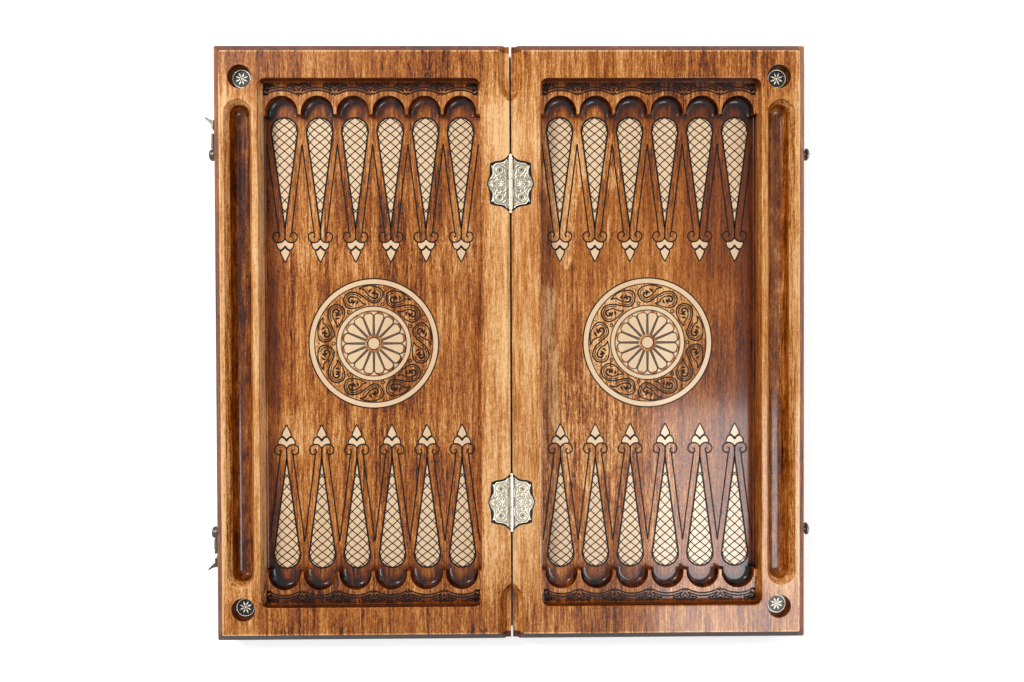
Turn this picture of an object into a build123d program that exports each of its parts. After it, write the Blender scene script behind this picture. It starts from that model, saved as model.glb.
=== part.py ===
from build123d import *
import os
from math import asin, cos, radians, sin

# A folding chess and backgammon board, lying open with the backgammon side up.
# Two carved wooden halves fold on two decorated butt hinges, and two side hooks
# hold them shut. Millimetres, +Z up. The origin is on the resting plane, under the
# middle of the seam. The left half is on -X and the right half on +X.

os.makedirs("parts", exist_ok=True)

# The two wooden halves
board_length = 600.0
half_width = 297.0
half_thickness = 35.0
seam_gap = 2.0
corner_radius = 2.0
edge_bevel_width = 6.6
edge_bevel_depth = 5.5
bottom_edge_radius = 1.5
edge_search_margin = 1.0
edge_slant = 0.1

# The playing tray carved in each half: a rim, an ornament step and a floor
seam_margin = 29.4
tray_width = 222.6
tray_length = 532.2
rim_corner_radius = 7.5
rim_edge_radius = 1.2
step_depth = 12.0
floor_depth = 24.0
side_cove_radius = 2.0

# The scalloped niches that hold the pieces at both ends of the tray
niche_count = 6
niche_pitch = 36.28
niche_radius = 16.7
niche_centre_y = 235.5
nose_length = 2.0
niche_cove_radius = 6.0
niche_neck = 12.0

# The long groove for spare pieces beside each tray
groove_length = 491.0
groove_width = 28.2
groove_edge_margin = 24.8
groove_lip_depth = 8.0
groove_channel_width = 20.2
groove_depth = 21.0
groove_bottom_radius = 8.0
groove_edge_radius = 0.8

# The round medallions sunk in the four outer corners
well_edge_margin = 27.0
well_end_margin = 32.2
well_diameter = 24.0
well_depth = 9.5
badge_diameter = 20.0
badge_thickness = 2.0
badge_stand = 0.5
badge_rim_inset = 0.7
badge_rim_width = 0.7
badge_rim_height = 0.4

# The scooped notches at both ends of the seam
notch_width = 11.3
notch_straight = 38.0
notch_curve = 20.0
notch_depth = 9.0
notch_slope = 38.0

# The pale wooden inlays of the points and the rosettes
inlay_thickness = 0.8
inlay_clearance = 0.05
point_head_y = 218.9
point_tip_y = 118.5
point_head_radius = 13.4
crown_peak_y = 107.0
crown_corner_y = 103.4
crown_low_y = 96.9
crown_notch_y = 101.0
crown_half_width = 8.4
crown_low_x = 4.8
crown_shoulder_x = 3.8
crown_shoulder_rise = 0.7
crown_belly_inset = 0.6
crown_belly_rise = 2.0
crown_inner_x = 2.0
crown_inner_rise = 1.1
drop_peak_y = 99.1
drop_wide_y = 94.8
drop_tip_y = 87.6
drop_half_width = 4.6
drop_cheek_x = 2.2
drop_cheek_y = 96.6
drop_flank_x = 2.7
drop_flank_y = 91.2
outer_ring_radius = 66.5
outer_ring_width = 5.1
inner_ring_radius = 38.1
inner_ring_width = 3.9
petal_count = 16
petal_inner_radius = 9.4
petal_outer_radius = 31.6
petal_gap = 2.0
petal_end_radius = 3.4
hub_radius = 5.7

# The chess side, veneered on the underside
square_size = 60.0
square_count = 8
veneer_thickness = 1.0
veneer_setback = 0.4
veneer_joint = 0.1

# The two hinges
hinge_end_margin = 139.5
fold_clearance = 0.2
leaf_thickness = 1.4
leaf_drop = 0.5
leaf_reach = 23.0
leaf_side_reach = 18.4
leaf_horn_x = 19.6
leaf_horn_y = 18.6
leaf_shoulder_y = 20.6
leaf_tail_y = 25.4
leaf_tail_bend = 4.0
leaf_tail_rise = 1.0
leaf_shoulder_x = 15.2
leaf_throat_x = 17.6
leaf_throat_y = 17.2
leaf_flank_y = 9.3
leaf_side_y = 13.4
leaf_fan_x = 20.8
leaf_fan_y = 5.2
mortise_gap = 1.0
mortise_point_y = 33.0
mortise_hollow_x = 5.2
mortise_bend_x = 14.6
mortise_waist_y = 7.8
barrel_diameter = 5.2
barrel_length = 47.0
knuckle_count = 5
knuckle_gap = 0.3
barrel_clearance = 0.5
pin_diameter = 2.6
bore_clearance = 0.05
finial_length = 6.4
finial_collar_radius = 2.5
finial_collar_length = 2.0
finial_bead_radius = 1.9
nail_x = 10.9
nail_y = 13.5
nail_diameter = 1.6
nail_length = 12.0
nail_head_diameter = 2.8
nail_head_thickness = 0.45
nail_clearance = 0.05

# The two hooks on the left wall and the two studs on the right wall
latch_end_margin = 108.5
latch_reach = 23.4
backplate_diameter = 13.0
backplate_thickness = 1.2
hook_gap = 0.3
hook_thickness = 1.7
hook_eye_radius = 5.6
hook_root_half_width = 3.4
hook_jaw_half_width = 5.2
hook_tip_half_width = 3.8
hook_tip_length = 11.5
hook_rib_height = 1.5
hook_rib_width = 4.0
hook_rib_margin = 0.8
hook_rib_taper = 20.0
tab_flare = 3.3
tab_edge = 1.5
tab_rise = 10.3
tab_width = 7.6
tab_inner_out = 5.9
tab_outer_out = 5.3
tab_outer_rise = 0.7
pivot_diameter = 4.0
pivot_clearance = 0.05
pivot_head_diameter = 11.7
pivot_head_height = 2.9
pivot_head_rim = 0.6
screw_length = 11.0
stud_neck_diameter = 4.4
jaw_clearance = 0.3
stud_head_diameter = 12.2
stud_head_height = 3.6
stud_head_rim = 1.2
stud_base_diameter = 7.4
stud_base_height = 1.1
stud_head_clearance = 0.4

# Places worked out from the sizes above
outer_x = seam_gap / 2 + half_width
half_centre_x = seam_gap / 2 + half_width / 2
tray_x = seam_gap / 2 + seam_margin + tray_width / 2
step_z = half_thickness - step_depth
floor_z = half_thickness - floor_depth
groove_x = outer_x - groove_edge_margin
well_x = outer_x - well_edge_margin
well_y = board_length / 2 - well_end_margin
hinge_y = board_length / 2 - hinge_end_margin
latch_y = board_length / 2 - latch_end_margin
axis_z = half_thickness + fold_clearance
latch_z = axis_z - latch_reach / 2
leaf_top_z = half_thickness - leaf_drop
leaf_bottom_z = leaf_top_z - leaf_thickness
niche_offsets = [(i - (niche_count - 1) / 2) * niche_pitch for i in range(niche_count)]
sides = (("left", -1), ("right", 1))
ends = (("upper", 1), ("lower", -1))


def save(piece, name):
    """Labels a finished piece and writes its STEP file."""
    piece.label = name
    export_step(piece, f"parts/{name}.step")


def teardrop(growth=0.0):
    """The pale body of a point: a round head at the middle, its tip towards -Y."""
    radius = point_head_radius + growth
    length = (point_head_y - point_tip_y) * radius / point_head_radius
    lean = asin(radius / length)
    touch_x = radius * cos(lean)
    touch_y = -radius * sin(lean)
    with BuildSketch() as outline:
        Circle(radius)
        with BuildLine():
            Polyline((touch_x, touch_y), (0, -length), (-touch_x, touch_y), close=True)
        make_face()
    return outline.sketch


def crown(growth=0.0):
    """The two pale lobes under a point, drawn at their own height on the +Y side."""
    corner_x = crown_half_width + growth
    with BuildSketch() as outline:
        with BuildLine():
            for hand in (-1, 1):
                peak = (0, crown_peak_y + growth)
                corner = (hand * corner_x, crown_corner_y + growth)
                low = (hand * crown_low_x, crown_low_y - growth)
                notch = (0, crown_notch_y - growth)
                shoulder = (hand * crown_shoulder_x, crown_corner_y + growth + crown_shoulder_rise)
                belly = (hand * (corner_x - crown_belly_inset), crown_low_y - growth + crown_belly_rise)
                inside = (hand * crown_inner_x, crown_low_y - growth + crown_inner_rise)
                ThreePointArc(peak, shoulder, corner)
                ThreePointArc(corner, belly, low)
                ThreePointArc(low, inside, notch)
        make_face()
    return outline.sketch


def drop(growth=0.0):
    """The pale pointed drop that ends a point, drawn at its own height."""
    wide_x = drop_half_width + growth
    with BuildSketch() as outline:
        with BuildLine():
            for hand in (-1, 1):
                peak = (0, drop_peak_y + growth)
                wide = (hand * wide_x, drop_wide_y)
                tip = (0, drop_tip_y - 2 * growth)
                cheek = (hand * (drop_cheek_x + growth), drop_cheek_y + growth / 2)
                flank = (hand * (drop_flank_x + growth / 2), drop_flank_y)
                ThreePointArc(peak, cheek, wide)
                ThreePointArc(wide, flank, tip)
        make_face()
    return outline.sketch


def petals(growth=0.0):
    """All pale petals of a rosette: spokes with rounded ends and even gaps."""
    half_step = radians(180 / petal_count)
    inner = petal_inner_radius - growth
    outer = petal_outer_radius + growth
    half_gap = petal_gap / 2 - growth
    inner_half = inner * sin(half_step) - half_gap
    outer_half = outer * sin(half_step) - half_gap
    with BuildSketch() as one:
        with BuildLine():
            Polyline(
                (inner, -inner_half),
                (outer * cos(half_step), -outer_half),
                (outer * cos(half_step), outer_half),
                (inner, inner_half),
                close=True,
            )
        make_face()
        fillet(one.vertices().group_by(Axis.X)[-1], petal_end_radius)
    with BuildSketch() as ring:
        with PolarLocations(0, petal_count, start_angle=180 / petal_count):
            add(one.sketch)
    return ring.sketch


def rings(growth=0.0):
    """The outer and inner pale rings of a rosette."""
    with BuildSketch() as both:
        for radius, width in (
            (outer_ring_radius, outer_ring_width),
            (inner_ring_radius, inner_ring_width),
        ):
            Circle(radius + growth)
            Circle(radius - width - growth, mode=Mode.SUBTRACT)
    return both.sketch


def point_places():
    """Where the twelve points of a half stand, as (offset across the tray, end, turn)."""
    return [(x, end, 0 if end > 0 else 180) for _, end in ends for x in niche_offsets]


def field_pattern(hand, growth=0.0):
    """Every inlay outline of one half, to cut the shallow seats for all of them."""
    with BuildSketch() as seats:
        for x, end, turn in point_places():
            with Locations(Location((hand * tray_x + x, end * point_head_y, 0), (0, 0, turn))):
                add(teardrop(growth))
            with Locations(Location((hand * tray_x + x, 0, 0), (0, 0, turn))):
                add(crown(growth))
                add(drop(growth))
        with Locations((hand * tray_x, 0)):
            add(rings(growth))
            add(petals(growth))
            Circle(hub_radius + growth)
    return seats.sketch


def leaf_outline():
    """Half of a decorated hinge plate on +X, with horned corners and a shell-shaped side."""
    root_x = barrel_diameter / 2 + barrel_clearance
    with BuildSketch() as outline:
        with BuildLine():
            for end in (-1, 1):
                tail = (root_x, end * leaf_tail_y)
                tail_bend = (root_x + leaf_tail_bend, end * (leaf_shoulder_y + leaf_tail_rise))
                shoulder = (leaf_shoulder_x, end * leaf_shoulder_y)
                throat = (leaf_throat_x, end * leaf_throat_y)
                horn = (leaf_horn_x, end * leaf_horn_y)
                side_bend = (leaf_side_reach, end * leaf_side_y)
                flank = (leaf_side_reach, end * leaf_flank_y)
                fan = (leaf_fan_x, end * leaf_fan_y)
                ThreePointArc(tail, tail_bend, shoulder)
                Line(shoulder, throat)
                Line(throat, horn)
                ThreePointArc(horn, side_bend, flank)
                Line(flank, fan)
                Line(fan, (leaf_reach, 0))
            Line((root_x, -leaf_tail_y), (root_x, leaf_tail_y))
        make_face()
    return outline.sketch


def mortise_outline():
    """The recess for one hinge plate on +X, running out to a point at the seam."""
    reach = leaf_reach + mortise_gap
    corner_x = leaf_horn_x + mortise_gap
    waist_x = leaf_side_reach + 3 * mortise_gap
    with BuildSketch() as outline:
        with BuildLine():
            for end in (-1, 1):
                point = (0, end * mortise_point_y)
                hollow = (mortise_hollow_x, end * leaf_tail_y)
                bend = (mortise_bend_x, end * (leaf_shoulder_y + 2 * mortise_gap))
                corner = (corner_x, end * (leaf_horn_y + 2 * mortise_gap))
                waist = (waist_x, end * mortise_waist_y)
                ThreePointArc(point, hollow, bend)
                Line(bend, corner)
                Line(corner, waist)
                Line(waist, (reach, 0))
            Line((0, -mortise_point_y), (0, mortise_point_y))
        make_face()
    return outline.sketch


def notch_outline():
    """The plan of a seam notch on +X and +Y, drawn past the wood on its open sides."""
    past = 2 * notch_width
    end_y = board_length / 2
    curve_y = end_y - notch_straight
    point_y = curve_y - notch_curve
    edge_x = seam_gap / 2 + notch_width
    with BuildSketch() as outline:
        with BuildLine():
            Line((edge_x, end_y + past), (edge_x, curve_y))
            arc = TangentArc((edge_x, curve_y), (seam_gap / 2, point_y), tangent=(0, -1))
            Polyline(arc @ 1, (-past, point_y), (-past, end_y + past), (edge_x, end_y + past))
        make_face()
    return outline.sketch


# The tool that carves a tray floor: a long box with six round niches at each end
with BuildPart() as niche_tool:
    with BuildSketch(Plane.XY.offset(floor_z)):
        Circle(niche_radius)
        with Locations((0, -(nose_length + niche_neck) / 2)):
            Rectangle(2 * niche_radius, nose_length + niche_neck)
    extrude(amount=floor_depth)
    fillet(niche_tool.faces().sort_by(Axis.Z)[0].edges(), niche_cove_radius)

with BuildPart() as tray_tool:
    with BuildSketch(Plane.XY.offset(floor_z)):
        Rectangle(tray_width, 2 * (niche_centre_y - nose_length))
    extrude(amount=floor_depth)
    long_floor_edges = tray_tool.faces().sort_by(Axis.Z)[0].edges().filter_by(Axis.Y)
    fillet(long_floor_edges, side_cove_radius)
    for x, end, turn in point_places():
        add(niche_tool.part.moved(Location((x, end * niche_centre_y, 0), (0, 0, turn))))
    with BuildSketch(Plane.XY.offset(step_z)):
        RectangleRounded(tray_width, tray_length, rim_corner_radius)
    extrude(amount=floor_depth)

# The tool that carves a side groove: a sloping lip over a round-bottomed channel
with BuildPart() as groove_tool:
    with BuildSketch(Plane.XY.offset(half_thickness - groove_depth)):
        SlotOverall(groove_length - groove_width + groove_channel_width, groove_channel_width, rotation=90)
    extrude(amount=groove_depth)
    fillet(groove_tool.faces().sort_by(Axis.Z)[0].edges(), groove_bottom_radius)
    with BuildSketch(Plane.XY.offset(half_thickness - groove_lip_depth)):
        SlotOverall(groove_length - groove_width + groove_channel_width, groove_channel_width, rotation=90)
    with BuildSketch(Plane.XY.offset(half_thickness)):
        SlotOverall(groove_length, groove_width, rotation=90)
    loft()

# The tool that cuts a seam notch, with sloping walls
with BuildPart() as notch_tool:
    with BuildSketch(Plane.XY.offset(half_thickness)):
        add(notch_outline())
    extrude(amount=-notch_depth, taper=notch_slope)

# The tool that makes room for a hinge barrel and its pointed ends
with BuildPart() as barrel_tool:
    room = barrel_diameter / 2 + barrel_clearance
    barrel_end = barrel_length / 2 + 2 * knuckle_gap
    with BuildSketch(Plane.XY):
        with BuildLine():
            Polyline(
                (0, -barrel_end - finial_length - knuckle_gap),
                (room / 2, -barrel_end - finial_length - knuckle_gap),
                (room, -barrel_end),
                (room, barrel_end),
                (room / 2, barrel_end + finial_length + knuckle_gap),
                (0, barrel_end + finial_length + knuckle_gap),
                close=True,
            )
        make_face()
    revolve(axis=Axis.Y)


def dome_arc(radius, base, rise):
    """The arc of a dome's profile, from its rim to its top on the axis."""
    curve = (radius**2 + rise**2) / (2 * rise)
    half_turn = asin(radius / curve) / 2
    middle = (curve * sin(half_turn), base + rise - curve + curve * cos(half_turn))
    return ThreePointArc((radius, base), middle, (0, base + rise))


def wall_plane(hand, end, out=0.0):
    """A plane on an outer wall at a latch: local x is up, local y along, z out of the wood."""
    centre = (hand * (outer_x + out), end * latch_y, latch_z)
    return Plane(origin=centre, x_dir=(0, 0, 1), z_dir=(hand, 0, 0))


for side, hand in sides:
    with BuildPart() as panel:
        with BuildSketch():
            with Locations((hand * half_centre_x, 0)):
                Rectangle(half_width, board_length)
        extrude(amount=half_thickness)
        top_face = panel.faces().sort_by(Axis.Z)[-1]
        seam_edge = top_face.edges().sort_by(Axis.X)[0 if hand > 0 else -1]
        bevel_edges = [e for e in top_face.edges() if not e.is_same(seam_edge)]
        chamfer(bevel_edges, edge_bevel_width, edge_bevel_depth, reference=top_face)
        uprights = panel.edges().filter_by(Axis.Z).sort_by(Axis.X)
        # Only the mitres of the bevel run slantwise in plan
        mitres = [e for e in panel.edges() if min(abs((e % 0).X), abs((e % 0).Y)) > edge_slant]
        fillet((uprights[-2:] if hand > 0 else uprights[:2]) + mitres, corner_radius)
        bottom_face = panel.faces().sort_by(Axis.Z)[0]
        low_seam_edge = bottom_face.edges().sort_by(Axis.X)[0 if hand > 0 else -1]
        fillet([e for e in bottom_face.edges() if not e.is_same(low_seam_edge)], bottom_edge_radius)
        add(tray_tool.part.moved(Location((hand * tray_x, 0, 0))), mode=Mode.SUBTRACT)
        add(groove_tool.part.moved(Location((hand * groove_x, 0, 0))), mode=Mode.SUBTRACT)
        top_edges = panel.faces().filter_by(Plane.XY).sort_by(Axis.Z)[-1].edges()
        rim_edges = [
            e
            for e in top_edges
            if abs(e.center().X - hand * tray_x) < tray_width / 2 + edge_search_margin
            and abs(e.center().Y) < tray_length / 2 + edge_search_margin
        ]
        fillet(rim_edges, rim_edge_radius)
        top_edges = panel.faces().filter_by(Plane.XY).sort_by(Axis.Z)[-1].edges()
        lip_edges = [
            e
            for e in top_edges
            if abs(e.center().X - hand * groove_x) < groove_width / 2 + edge_search_margin
            and abs(e.center().Y) < groove_length / 2 + edge_search_margin
        ]
        fillet(lip_edges, groove_edge_radius)
        for _, end in ends:
            # The seam notch, drawn for +X and +Y and turned over for the other corners
            notch = notch_tool.part if hand > 0 else notch_tool.part.mirror(Plane.YZ)
            add(notch if end > 0 else notch.mirror(Plane.XZ), mode=Mode.SUBTRACT)
            with Locations((hand * well_x, end * well_y, half_thickness - well_depth)):
                Cylinder(
                    well_diameter / 2,
                    well_depth,
                    align=(Align.CENTER, Align.CENTER, Align.MIN),
                    mode=Mode.SUBTRACT,
                )
                Cylinder(
                    badge_diameter / 2 + inlay_clearance,
                    badge_thickness - badge_stand,
                    align=(Align.CENTER, Align.CENTER, Align.MAX),
                    mode=Mode.SUBTRACT,
                )
            # The mortise of a hinge plate, its barrel room and its nail holes
            with BuildSketch(Plane.XY.offset(half_thickness)):
                with Locations((0, end * hinge_y)):
                    add(mortise_outline() if hand > 0 else mortise_outline().mirror(Plane.YZ))
            extrude(amount=leaf_bottom_z - half_thickness, mode=Mode.SUBTRACT)
            add(barrel_tool.part.moved(Location((0, end * hinge_y, axis_z))), mode=Mode.SUBTRACT)
            with BuildSketch(Plane.XY.offset(leaf_bottom_z)):
                with Locations((hand * nail_x, end * hinge_y)):
                    with GridLocations(0, 2 * nail_y, 1, 2):
                        Circle(nail_diameter / 2 + nail_clearance)
            extrude(amount=leaf_thickness - nail_length - nail_clearance, mode=Mode.SUBTRACT)
            # The screw hole of a hook or a stud
            with BuildSketch(wall_plane(hand, end)):
                Circle(pivot_diameter / 2 + pivot_clearance)
            extrude(amount=-screw_length - pivot_clearance, mode=Mode.SUBTRACT)
        # The shallow seats of the inlays on the tray floor
        with BuildSketch(Plane.XY.offset(floor_z)):
            add(field_pattern(hand, inlay_clearance))
        extrude(amount=-inlay_thickness, mode=Mode.SUBTRACT)
        # The recess of the chess veneers on the underside
        with BuildSketch():
            with Locations((hand * (seam_gap / 2 + square_size * square_count / 4), 0)):
                Rectangle(square_size * square_count / 2, square_size * square_count)
        extrude(amount=veneer_setback + veneer_thickness, mode=Mode.SUBTRACT)
    save(panel.part, f"{side}_panel")

    # The twelve pale points with the crowns and drops that end them
    with BuildPart() as points:
        with BuildSketch(Plane.XY.offset(floor_z)):
            for x, end, turn in point_places():
                with Locations(Location((hand * tray_x + x, end * point_head_y, 0), (0, 0, turn))):
                    add(teardrop())
        extrude(amount=-inlay_thickness)
    save(points.part, f"{side}_point_inlays")
    for name, outline in (("crown", crown()), ("drop", drop())):
        with BuildPart() as inlays:
            with BuildSketch(Plane.XY.offset(floor_z)):
                for x, end, turn in point_places():
                    with Locations(Location((hand * tray_x + x, 0, 0), (0, 0, turn))):
                        add(outline)
            extrude(amount=-inlay_thickness)
        save(inlays.part, f"{side}_{name}_inlays")

    # The rosette in the middle of the tray floor
    with BuildPart() as ring_inlays:
        with BuildSketch(Plane.XY.offset(floor_z)):
            with Locations((hand * tray_x, 0)):
                add(rings())
        extrude(amount=-inlay_thickness)
    save(ring_inlays.part, f"{side}_rosette_rings")
    with BuildPart() as petal_inlays:
        with BuildSketch(Plane.XY.offset(floor_z)):
            with Locations((hand * tray_x, 0)):
                add(petals())
        extrude(amount=-inlay_thickness)
    save(petal_inlays.part, f"{side}_rosette_petals")
    with BuildPart() as hub:
        with BuildSketch(Plane.XY.offset(floor_z)):
            with Locations((hand * tray_x, 0)):
                Circle(hub_radius)
        extrude(amount=-inlay_thickness)
    save(hub.part, f"{side}_rosette_hub")

    # The chess squares of this half, light and dark
    for shade, parity in (("light", 0), ("dark", 1)):
        with BuildPart() as squares:
            with BuildSketch(Plane.XY.offset(veneer_setback)):
                for column in range(square_count // 2):
                    for row in range(square_count):
                        if (column + row + (hand > 0)) % 2 == parity:
                            square_x = hand * (seam_gap / 2 + (column + 0.5) * square_size)
                            square_y = (row - (square_count - 1) / 2) * square_size
                            with Locations((square_x, square_y)):
                                Rectangle(square_size - veneer_joint, square_size - veneer_joint)
            extrude(amount=veneer_thickness)
        save(squares.part, f"{side}_chess_{shade}_squares")

    for level, end in ends:
        # A medallion, a thick disc with a raised rim
        badge_z = half_thickness - well_depth + badge_stand
        with BuildPart() as badge:
            with BuildSketch(Plane.XY.offset(badge_z)):
                with Locations((hand * well_x, end * well_y)):
                    Circle(badge_diameter / 2)
            extrude(amount=-badge_thickness)
            with BuildSketch(Plane.XY.offset(badge_z)):
                with Locations((hand * well_x, end * well_y)):
                    Circle(badge_diameter / 2 - badge_rim_inset)
                    Circle(badge_diameter / 2 - badge_rim_inset - badge_rim_width, mode=Mode.SUBTRACT)
            extrude(amount=badge_rim_height)
        save(badge.part, f"{level}_{side}_medallion")

        # A hinge plate with its own share of the knuckles
        with BuildPart() as leaf:
            with BuildSketch(Plane.XY.offset(leaf_bottom_z)):
                with Locations((0, end * hinge_y)):
                    add(leaf_outline() if hand > 0 else leaf_outline().mirror(Plane.YZ))
            extrude(amount=leaf_thickness)
            pitch = (barrel_length + knuckle_gap) / knuckle_count
            own = range(0 if hand < 0 else 1, knuckle_count, 2)
            for middle_y in [(i - (knuckle_count - 1) / 2) * pitch for i in own]:
                web_x = barrel_diameter / 2 + 2 * barrel_clearance
                with Locations((hand * web_x / 2, end * hinge_y + middle_y, leaf_bottom_z)):
                    Box(
                        web_x,
                        pitch - knuckle_gap,
                        leaf_thickness,
                        align=(Align.CENTER, Align.CENTER, Align.MIN),
                    )
                with Locations(Location((0, end * hinge_y + middle_y, axis_z), (90, 0, 0))):
                    Cylinder(barrel_diameter / 2, pitch - knuckle_gap)
            with Locations(Location((0, end * hinge_y, axis_z), (90, 0, 0))):
                Cylinder(pin_diameter / 2 + bore_clearance, 2 * barrel_length, mode=Mode.SUBTRACT)
            with BuildSketch(Plane.XY.offset(leaf_top_z)):
                with Locations((hand * nail_x, end * hinge_y)):
                    with GridLocations(0, 2 * nail_y, 1, 2):
                        Circle(nail_diameter / 2 + nail_clearance)
            extrude(amount=-leaf_thickness, mode=Mode.SUBTRACT)
        save(leaf.part, f"{level}_hinge_{side}_plate")

        # The two nails of a hinge plate
        with BuildPart() as nails:
            for spot_y in (-nail_y, nail_y):
                with Locations((hand * nail_x, end * hinge_y + spot_y, leaf_top_z)):
                    Cylinder(
                        nail_diameter / 2,
                        nail_length,
                        align=(Align.CENTER, Align.CENTER, Align.MAX),
                    )
                    Cylinder(
                        nail_head_diameter / 2,
                        nail_head_thickness,
                        align=(Align.CENTER, Align.CENTER, Align.MIN),
                    )
        save(nails.part, f"{level}_hinge_{side}_nails")

for level, end in ends:
    # A hinge pin with a collar and a bead at each end
    with BuildPart() as pin:
        collar_y = barrel_length / 2 + knuckle_gap
        bead_y = collar_y + finial_length - finial_bead_radius
        with BuildSketch(Plane.XY):
            with Locations((pin_diameter / 4, 0)):
                Rectangle(pin_diameter / 2, 2 * bead_y)
            with Locations((finial_collar_radius / 2, 0)):
                with GridLocations(0, 2 * collar_y + finial_collar_length, 1, 2):
                    Rectangle(finial_collar_radius, finial_collar_length)
            with GridLocations(0, 2 * bead_y, 1, 2):
                Circle(finial_bead_radius)
            with Locations((-barrel_length, 0)):
                Rectangle(2 * barrel_length, 4 * barrel_length, mode=Mode.SUBTRACT)
        revolve(axis=Axis.Y)
    save(pin.part.moved(Location((0, end * hinge_y, axis_z))), f"{level}_hinge_pin")

    # The round backplate behind a hook
    with BuildPart() as backplate:
        with BuildSketch(wall_plane(-1, end)):
            Circle(backplate_diameter / 2)
            Circle(pivot_diameter / 2 + pivot_clearance, mode=Mode.SUBTRACT)
        extrude(amount=backplate_thickness)
    save(backplate.part, f"{level}_hook_backplate")

    # The hook: an eye, an arm with an open jaw, a raised rib and a thumb tab
    hook_out = backplate_thickness + hook_gap
    head_out = hook_out + hook_thickness
    head_room = stud_head_diameter / 2 + stud_head_clearance
    hook_length = latch_reach + hook_tip_length
    jaw_radius = stud_neck_diameter / 2 + jaw_clearance
    with BuildPart() as hook:
        with BuildSketch(wall_plane(-1, 1, hook_out)):
            Circle(hook_eye_radius)
            with BuildLine():
                Polyline(
                    (-hook_root_half_width, 0),
                    (-hook_jaw_half_width, latch_reach),
                    (-hook_tip_half_width, hook_length),
                    (hook_tip_half_width, hook_length),
                    (hook_jaw_half_width, latch_reach),
                    (hook_root_half_width, 0),
                    close=True,
                )
            make_face()
            with Locations((0, latch_reach)):
                Circle(jaw_radius, mode=Mode.SUBTRACT)
                Rectangle(
                    2 * hook_jaw_half_width,
                    2 * jaw_radius,
                    align=(Align.MIN, Align.CENTER),
                    mode=Mode.SUBTRACT,
                )
            Circle(pivot_diameter / 2 + pivot_clearance, mode=Mode.SUBTRACT)
        extrude(amount=hook_thickness)
        rib_end = latch_reach - head_room
        rib_start = pivot_head_diameter / 2 + hook_rib_margin
        with BuildSketch(wall_plane(-1, 1, head_out)):
            with Locations((0, (rib_start + rib_end) / 2)):
                SlotOverall(rib_end - rib_start, hook_rib_width, rotation=90)
        extrude(amount=hook_rib_height, taper=hook_rib_taper)
        tab_root = latch_reach + head_room
        side_view = Plane(
            origin=(-outer_x, latch_y, latch_z - tab_width / 2), x_dir=(0, 1, 0), z_dir=(0, 0, 1)
        )
        with BuildSketch(side_view):
            with BuildLine():
                Line((tab_root, hook_out), (tab_root, head_out))
                inner = ThreePointArc(
                    (tab_root, head_out),
                    ((tab_root + hook_length) / 2, tab_inner_out),
                    (hook_length + tab_flare - tab_edge, tab_rise),
                )
                Line(inner @ 1, (hook_length + tab_flare, tab_rise - tab_edge / 2))
                ThreePointArc(
                    (hook_length + tab_flare, tab_rise - tab_edge / 2),
                    (hook_length + tab_outer_rise, tab_outer_out),
                    (hook_length, hook_out),
                )
                Line((hook_length, hook_out), (tab_root, hook_out))
            make_face()
        extrude(amount=tab_width)
    upper_hook = hook.part
    save(upper_hook if end > 0 else upper_hook.mirror(Plane.XZ), f"{level}_hook")

    # The domed screw that a hook swings on
    with BuildPart() as pivot_screw:
        with BuildSketch(wall_plane(-1, end, -screw_length)):
            Circle(pivot_diameter / 2)
        extrude(amount=screw_length + head_out + hook_gap)
        with BuildSketch(wall_plane(-1, end, head_out + hook_gap)):
            Circle(pivot_head_diameter / 2)
        extrude(amount=pivot_head_height)
        dome_edge = pivot_screw.edges().filter_by(GeomType.CIRCLE).sort_by(Axis.X)[0]
        fillet(dome_edge, pivot_head_height - pivot_head_rim)
    save(pivot_screw.part, f"{level}_hook_screw")

    # The stud that a hook catches, with a flared foot and a mushroom head
    with BuildPart() as stud:
        neck_top = head_out + stud_head_clearance
        with BuildSketch(Plane.XY):
            with BuildLine():
                Polyline(
                    (0, -screw_length),
                    (pivot_diameter / 2, -screw_length),
                    (pivot_diameter / 2, 0),
                    (stud_base_diameter / 2, 0),
                    (stud_base_diameter / 2, stud_base_height / 2),
                    (stud_neck_diameter / 2, stud_base_height),
                    (stud_neck_diameter / 2, neck_top),
                    (stud_head_diameter / 2, neck_top),
                    (stud_head_diameter / 2, neck_top + stud_head_rim),
                )
                dome_rise = stud_head_height - stud_head_rim
                dome = dome_arc(stud_head_diameter / 2, neck_top + stud_head_rim, dome_rise)
                Line(dome @ 1, (0, -screw_length))
            make_face()
        revolve(axis=Axis.Y)
    stud_place = Location(wall_plane(1, end)) * Location((0, 0, 0), (90, 0, 0))
    save(stud.part.moved(stud_place), f"{level}_stud")
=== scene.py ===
from math import acos, asin, cos, hypot, pi, radians, sin, sqrt

import bmesh
import bpy
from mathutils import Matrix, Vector


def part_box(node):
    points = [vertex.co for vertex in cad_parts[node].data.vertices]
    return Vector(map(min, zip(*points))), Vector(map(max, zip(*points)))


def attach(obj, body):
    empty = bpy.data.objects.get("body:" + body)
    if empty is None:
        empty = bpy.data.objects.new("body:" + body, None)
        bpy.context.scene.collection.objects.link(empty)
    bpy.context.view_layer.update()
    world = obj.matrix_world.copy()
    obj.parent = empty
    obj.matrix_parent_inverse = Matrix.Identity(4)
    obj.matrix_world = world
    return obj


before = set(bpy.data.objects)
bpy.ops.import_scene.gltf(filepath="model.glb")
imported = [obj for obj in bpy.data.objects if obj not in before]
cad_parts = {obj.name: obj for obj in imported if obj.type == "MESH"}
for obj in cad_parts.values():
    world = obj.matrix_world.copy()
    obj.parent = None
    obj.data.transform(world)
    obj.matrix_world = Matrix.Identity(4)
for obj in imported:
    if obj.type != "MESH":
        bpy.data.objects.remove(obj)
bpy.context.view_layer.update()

# Sizes are in millimetres here and are turned into metres where a mesh is made
MM = 0.001

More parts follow.
